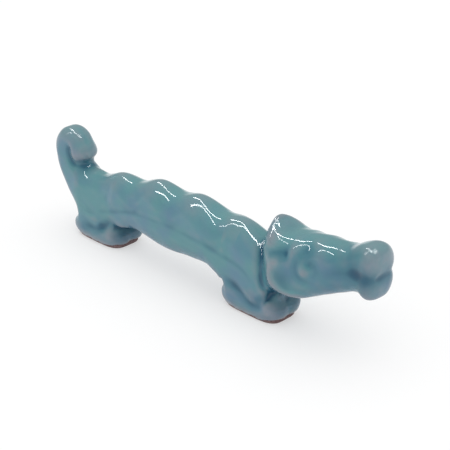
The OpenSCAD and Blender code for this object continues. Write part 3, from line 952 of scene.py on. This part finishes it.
    def build(self, finish: "CeladonGlaze") -> bpy.types.Object:
        """Makes and dresses the skin, which stands for the five glazed solids.

        Args:
            finish: the glaze that it is dressed in.

        Returns:
            The finished piece.
        """
        points, faces = self.net()
        points = self.settle(points)
        piece = make_mesh("glazed_skin", points, faces.tolist())
        normals = np.empty(3 * len(piece.data.vertices), np.float32)
        piece.data.vertices.foreach_get("normal", normals)
        deep, thin = self.pooling_and_shade(points, faces, normals.reshape(-1, 3))
        # the pooled attribute carries the pooled glaze together with the painted shade in hollows
        for name, values in (("pooled_and_shade", deep), ("thin", thin)):
            piece.data.attributes.new(name, "FLOAT", "POINT").data.foreach_set("value", values.astype(np.float32))
        piece.data.materials.append(finish.material())
        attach(piece, "root")
        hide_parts("trunk", "head", "tail_scroll", "hind_foot", "fore_foot")
        return piece


# Finishes


def linear(code: str) -> tuple:
    """Turns an sRGB hex colour into the linear colour that a shader takes."""
    parts = [int(code[i : i + 2], 16) / 255 for i in (1, 3, 5)]
    return (*[c / 12.92 if c <= 0.04045 else ((c + 0.055) / 1.055) ** 2.4 for c in parts], 1.0)


def add_node(tree: Tree, kind: str, values: dict, links: dict, **settings: str | bool) -> bpy.types.Node:
    """Adds a node.

    Args:
        tree: the tree that it joins.
        kind: its type, such as ShaderNodeMix.
        values: constants for its inputs, by name or number.
        links: outputs that feed its inputs, by name or number.
        **settings: its own settings.

    Returns:
        The node.
    """
    node = tree.nodes.new(kind)
    for name, value in settings.items():
        setattr(node, name, value)
    for name, value in values.items():
        node.inputs[name].default_value = value
    for name, output in links.items():
        tree.links.new(output, node.inputs[name])
    return node


def blend_colours(tree: Tree, share: Socket, a: str | Socket, b: str | Socket) -> Socket:
    """Mixes two colours.

    Args:
        tree: the tree that the node joins.
        share: share of the second colour.
        a: the first colour, a hex code or an output.
        b: the second.

    Returns:
        The mixed colour.
    """
    values, links = {}, {0: share}
    for slot, colour in ((6, a), (7, b)):
        if isinstance(colour, str):
            values[slot] = linear(colour)
        else:
            links[slot] = colour
    return add_node(tree, "ShaderNodeMix", values, links, data_type="RGBA").outputs[2]


def number(tree: Tree, operation: str, a: float | Socket, b: float | Socket, clamp: bool = False) -> Socket:
    """Joins two numbers by a Math node.

    Args:
        tree: the tree that the node joins.
        operation: the node's operation, such as ADD.
        a: the first number, a constant or an output.
        b: the second.
        clamp: whether the result is held between 0 and 1.

    Returns:
        The result.
    """
    values = {i: v for i, v in enumerate((a, b)) if isinstance(v, (int, float))}
    links = {i: v for i, v in enumerate((a, b)) if not isinstance(v, (int, float))}
    return add_node(tree, "ShaderNodeMath", values, links, operation=operation, use_clamp=clamp).outputs[0]


def noise(tree: Tree, place: Socket, size_mm: float, detail: float, rough: float) -> Socket:
    """Noise whose lumps are size_mm across."""
    values = {"Scale": 1 / (size_mm * MM), "Detail": detail, "Roughness": rough}
    return add_node(tree, "ShaderNodeTexNoise", values, {"Vector": place}).outputs["Fac"]


def new_material(name: str) -> tuple:
    """Makes an empty material.

    Args:
        name: its name.

    Returns:
        The material, its tree and the output of its Object coordinates.
    """
    material = bpy.data.materials.new(name)
    material.use_nodes = True
    tree = material.node_tree
    tree.nodes.clear()
    return material, tree, add_node(tree, "ShaderNodeTexCoord", {}, {}).outputs["Object"]


def add_surface(tree: Tree, colour: Socket, height: Socket, relief: tuple, values: dict) -> None:
    """Ends a material with a Principled shader.

    Args:
        tree: the material's tree.
        colour: its colour.
        height: the height of its fine relief, from 0 to 1.
        relief: strength of that relief and its depth in metres.
        values: the shader's constants.
    """
    rough = add_node(tree, "ShaderNodeBump", {"Strength": relief[0], "Distance": relief[1]}, {"Height": height})
    links = {"Base Color": colour, "Normal": rough.outputs["Normal"]}
    shader = add_node(tree, "ShaderNodeBsdfPrincipled", values, links)
    add_node(tree, "ShaderNodeOutputMaterial", {}, {"Surface": shader.outputs[0]})


def background_rays(tree: Tree) -> tuple:
    """Finds the rays that see the white background as it is: from the camera, and through or off shiny things.

    Args:
        tree: a tree of the world or of the table.

    Returns:
        Outputs that are 1 for all such rays, and for those off shiny things alone.
    """
    path = add_node(tree, "ShaderNodeLightPath", {}, {}).outputs
    seen = number(tree, "MAXIMUM", path["Is Camera Ray"], path["Is Transmission Ray"])
    return number(tree, "MAXIMUM", seen, path["Is Glossy Ray"]), path["Is Glossy Ray"]


@dataclass(frozen=True)
class CeladonGlaze:
    """Turquoise celadon glaze, dipped and fired glossy: even on the flanks, painted lighter where it faces up and
    painted darker where it faces down, dark with pooled glaze and painted shade where it ran into the carving, and
    thin, greyish and a little pink where it ran off the ridges."""

    flank: str = "#5B8E95"
    blue_drift: str = "#5E839A"
    # upper is painted light on faces turned upwards, with small greener mottles; lower is painted shade on faces turned
    # downwards
    upper: str = "#639195"
    lower: str = "#4B7187"
    # the two pool colours are pooled glaze and painted shade in the hollows
    pool_and_shade: str = "#2C6177"
    deep_pool_and_shade: str = "#17405C"
    ridge: str = "#8F9099"
    roughness: float = 0.05
    ior: float = 1.43
    drift_mm: float = 10.0
    peel_mm: float = 1.6
    mottle_mm: float = 3.1
    ridge_mm: float = 2.2
    peel: tuple = (0.1, 0.00003)

    def material(self) -> bpy.types.Material:
        """Builds the glaze: its colour follows how deep it stands, with painted shade in the hollows, painted light on
        upward faces and painted shade on downward ones, and a faint ripple breaks its reflections.

        Returns:
            The material.
        """
        material, tree, place = new_material("glazed_turquoise_celadon")
        pooled_and_shade, thin = (add_node(tree, "ShaderNodeAttribute", {}, {}, attribute_name=name).outputs["Fac"]
                        for name in ("pooled_and_shade", "thin"))
        normal = add_node(tree, "ShaderNodeNewGeometry", {}, {}).outputs["Normal"]
        upward = add_node(tree, "ShaderNodeSeparateXYZ", {}, {0: normal}).outputs[2]
        cloud = number(tree, "SUBTRACT", noise(tree, place, self.drift_mm, 3, 0.55), 0.5)
        small = number(tree, "SUBTRACT", noise(tree, place, self.mottle_mm, 3, 0.6), 0.5)
        drift = number(tree, "ADD", number(tree, "MULTIPLY", cloud, 4.0), 0.4, True)
        colour = blend_colours(tree, drift, self.flank, self.blue_drift)
        # painted light: faces turned upwards are made lighter, broken up by small greener mottles
        over = number(tree, "ADD", number(tree, "MULTIPLY", upward, 1.1), number(tree, "MULTIPLY", small, 0.8))
        colour = blend_colours(tree, number(tree, "SUBTRACT", over, 0.12, True), colour, self.upper)
        # painted shade: faces turned downwards are made darker
        under = number(tree, "MULTIPLY", number(tree, "ADD", upward, 0.1), -1.3, True)
        colour = blend_colours(tree, under, colour, self.lower)
        fine = noise(tree, place, self.ridge_mm, 3, 0.6)
        ridge = number(tree, "MULTIPLY", thin, number(tree, "ADD", fine, 0.2), True)
        colour = blend_colours(tree, ridge, colour, self.ridge)
        # pooled glaze and painted shade darken the hollows, the deepest most
        colour = blend_colours(tree, number(tree, "MULTIPLY", pooled_and_shade, 1.2, True), colour, self.pool_and_shade)
        deepest_pool_and_shade = number(tree, "MULTIPLY", number(tree, "SUBTRACT", pooled_and_shade, 0.55), 1.9, True)
        colour = blend_colours(tree, deepest_pool_and_shade, colour, self.deep_pool_and_shade)
        ripple = noise(tree, place, self.peel_mm, 2, 0.4)
        add_surface(tree, colour, ripple, self.peel, {"Roughness": self.roughness, "IOR": self.ior})
        return material


@dataclass(frozen=True)
class BareClay:
    """Red-brown stoneware, ground and left unglazed: matte and grainy, with a painted shadow darkening it where it
    meets the table.
    """

    body: str = "#6B5152"
    pale: str = "#9C8583"
    # dark is the colour of the grog specks and also of the painted contact shadow
    dark: str = "#3A2A2E"
    cloud_mm: float = 3.0
    speck_mm: float = 0.45
    grain_mm: float = 0.35
    contact_shadow_mm: float = 0.35
    grain: tuple = (0.8, 0.00012)
    roughness: float = 0.85

    def material(self) -> bpy.types.Material:
        """Builds the clay: clouded colour with dark grog specks, a painted contact shadow along the table, and a grainy
        surface.

        Returns:
            The material.
        """
        material, tree, place = new_material("unglazed_red_stoneware")
        colour = blend_colours(tree, noise(tree, place, self.cloud_mm, 4, 0.6), self.body, self.pale)
        specks = number(tree, "GREATER_THAN", noise(tree, place, self.speck_mm, 2, 0.6), 0.62)
        colour = blend_colours(tree, number(tree, "MULTIPLY", specks, 0.6), colour, self.dark)
        height = add_node(tree, "ShaderNodeSeparateXYZ", {}, {0: place}).outputs[2]
        # painted contact shadow: the clay darkens towards the table over the lowest few tenths of a millimetre
        ground = number(tree, "SUBTRACT", 1.0, number(tree, "MULTIPLY", height, 1 / (self.contact_shadow_mm * MM)), True)
        colour = blend_colours(tree, number(tree, "MULTIPLY", ground, 0.6), colour, self.dark)
        grit = noise(tree, place, self.grain_mm, 3, 0.7)
        add_surface(tree, colour, grit, self.grain, {"Roughness": self.roughness, "Specular IOR Level": 0.3})
        return material


# The studio


@dataclass(frozen=True)
class Studio:
    """White table, camera, and plain light from a white sky that is brightest overhead.

    The lamps light nothing: they only show in the glaze, as its highlights. Two long ones draw the lines along back and
    brow, and three panes the glints on scroll, horns and nose. Where the glaze mirrors what is overhead, the sky is
    dimmer than a white ground, as in a room, so that the glaze keeps its colour.
    """

    azimuth: float = 44.0
    elevation: float = 26.0
    focal_px: float = 1105.0
    distance: float = 278.8
    target: tuple = (7.664, 0.0, 18.832)
    paper: str = "#F7F7F7"
    # light of the sky at the horizon, and how much it grows to the zenith
    sky: tuple = (0.42, 1.06)
    # mirrored sky: heights between which it dims, and its level at the upper one
    dims: tuple = (-0.05, 0.22)
    overhead: float = 0.35
    # share of plain white over the lit table, which leaves a soft shadow
    veil: float = 0.45
    table_side: float = 3000.0
    # lamps: name, place and size in metres, power in watts, and whether it looks straight down
    lamps: tuple = (("strip_rear", (-0.17, 0.04, 0.66), (0.85, 0.052), 3.47, False),
                    ("strip_front", (-0.25, -0.20, 0.64), (0.80, 0.034), 2.14, False),
                    ("pane_0", (0.17, 0.18, 0.66), (0.045, 0.34), 1.2, True),
                    ("pane_1", (0.32, 0.18, 0.66), (0.045, 0.34), 1.2, True),
                    ("pane_2", (0.47, 0.18, 0.66), (0.045, 0.34), 1.2, True))
    aim: tuple = (0.0, 0.0, 0.015)

    def direction(self) -> Vector:
        """Direction from the object to the camera."""
        a, e = np.radians(self.azimuth), np.radians(self.elevation)
        return Vector((np.sin(a) * np.cos(e), -np.cos(a) * np.cos(e), np.sin(e)))

    def add_camera(self) -> None:
        """Places the camera at the photograph's angle and distance."""
        data = bpy.data.cameras.new("camera")
        data.sensor_width = 36.0
        data.lens = self.focal_px / PICTURE_SIDE * data.sensor_width
        data.clip_start, data.clip_end = 0.01, 20
        camera = bpy.data.objects.new("camera", data)
        bpy.context.scene.collection.objects.link(camera)
        camera.location = (Vector(self.target) + self.distance * self.direction()) * MM
        camera.rotation_euler = self.direction().to_track_quat("Z", "Y").to_euler()
        bpy.context.scene.camera = camera

    def add_lamp(self, name: str, place: tuple, size: tuple, power: float, down: bool) -> None:
        """Adds a rectangular lamp that shows in reflections only.

        Args:
            name: its name.
            place: its middle, in metres.
            size: its two sides, in metres.
            power: its power in watts.
            down: whether it looks straight down, and not at the object.
        """
        data = bpy.data.lights.new(name, "AREA")
        data.shape, data.size, data.size_y, data.energy = "RECTANGLE", *size, power
        lamp = bpy.data.objects.new(name, data)
        bpy.context.scene.collection.objects.link(lamp)
        lamp.location = place
        if not down:
            lamp.rotation_euler = (Vector(place) - Vector(self.aim)).to_track_quat("Z", "X").to_euler()
        lamp.visible_diffuse = False

    def add_light(self) -> None:
        """Sets up the sky, one level for light and another for what is seen, and hangs the lamps."""
        world = bpy.data.worlds.new("white_room")
        bpy.context.scene.world = world
        world.use_nodes = True
        tree = world.node_tree
        tree.nodes.clear()
        seen, mirrored = background_rays(tree)
        way = add_node(tree, "ShaderNodeTexCoord", {}, {}).outputs["Generated"]
        height = add_node(tree, "ShaderNodeSeparateXYZ", {}, {0: way}).outputs[2]
        limits = {1: self.dims[0], 2: self.dims[1], 3: 1.0, 4: self.overhead}
        dimmed = add_node(tree, "ShaderNodeMapRange", limits, {0: height}).outputs[0]
        background = add_node(tree, "ShaderNodeMix", {2: 1.0}, {0: mirrored, 3: dimmed}).outputs[0]
        low, high = self.sky
        level = number(tree, "ADD", number(tree, "MULTIPLY", number(tree, "MAXIMUM", height, 0.0), high), low)
        level = add_node(tree, "ShaderNodeMix", {}, {0: seen, 2: level, 3: background}).outputs[0]
        shader = add_node(tree, "ShaderNodeBackground", {"Color": (1, 1, 1, 1)}, {"Strength": level})
        add_node(tree, "ShaderNodeOutputWorld", {}, {"Surface": shader.outputs[0]})
        for lamp in self.lamps:
            self.add_lamp(*lamp)

    def add_table(self) -> None:
        """Lays the white table that keeps the object's shadow."""
        side = self.table_side / 2
        corners = np.array([(-side, -side, 0), (side, -side, 0), (side, side, 0), (-side, side, 0)])
        table = make_mesh("table", corners, [(0, 1, 2, 3)])
        material, tree, _ = new_material("white_paper")
        lit = add_node(tree, "ShaderNodeBsdfDiffuse", {"Color": linear(self.paper)}, {}).outputs[0]
        plain = add_node(tree, "ShaderNodeEmission", {"Color": (1, 1, 1, 1), "Strength": 1.0}, {}).outputs[0]
        share = number(tree, "MULTIPLY", background_rays(tree)[0], self.veil)
        blend = add_node(tree, "ShaderNodeMixShader", {}, {0: share, 1: lit, 2: plain})
        add_node(tree, "ShaderNodeOutputMaterial", {}, {"Surface": blend.outputs[0]})
        table.data.materials.append(material)

    def build(self) -> None:
        """Sets up camera, light and table."""
        self.add_camera()
        self.add_light()
        self.add_table()


def main() -> None:
    """Builds every piece in order."""
    logging.basicConfig(level=logging.INFO, format="%(name)s: %(message)s")
    bpy.context.scene.view_settings.view_transform = "Standard"
    plan = Plan()
    Studio().build()
    trunk = Trunk(plan)
    feet = [Foot(plan, place) for place in Place]
    skin = GlazedSkin(trunk, TailScroll(plan, trunk), Head(plan), feet).build(CeladonGlaze())
    log.info("%s: %d points, %d faces", skin.name, len(skin.data.vertices), len(skin.data.polygons))
    clay = BareClay()
    for foot in feet:
        ring = foot.build_ring(clay)
        log.info("%s: %d faces", ring.name, len(ring.data.polygons))


if __name__ == "__main__":
    main()
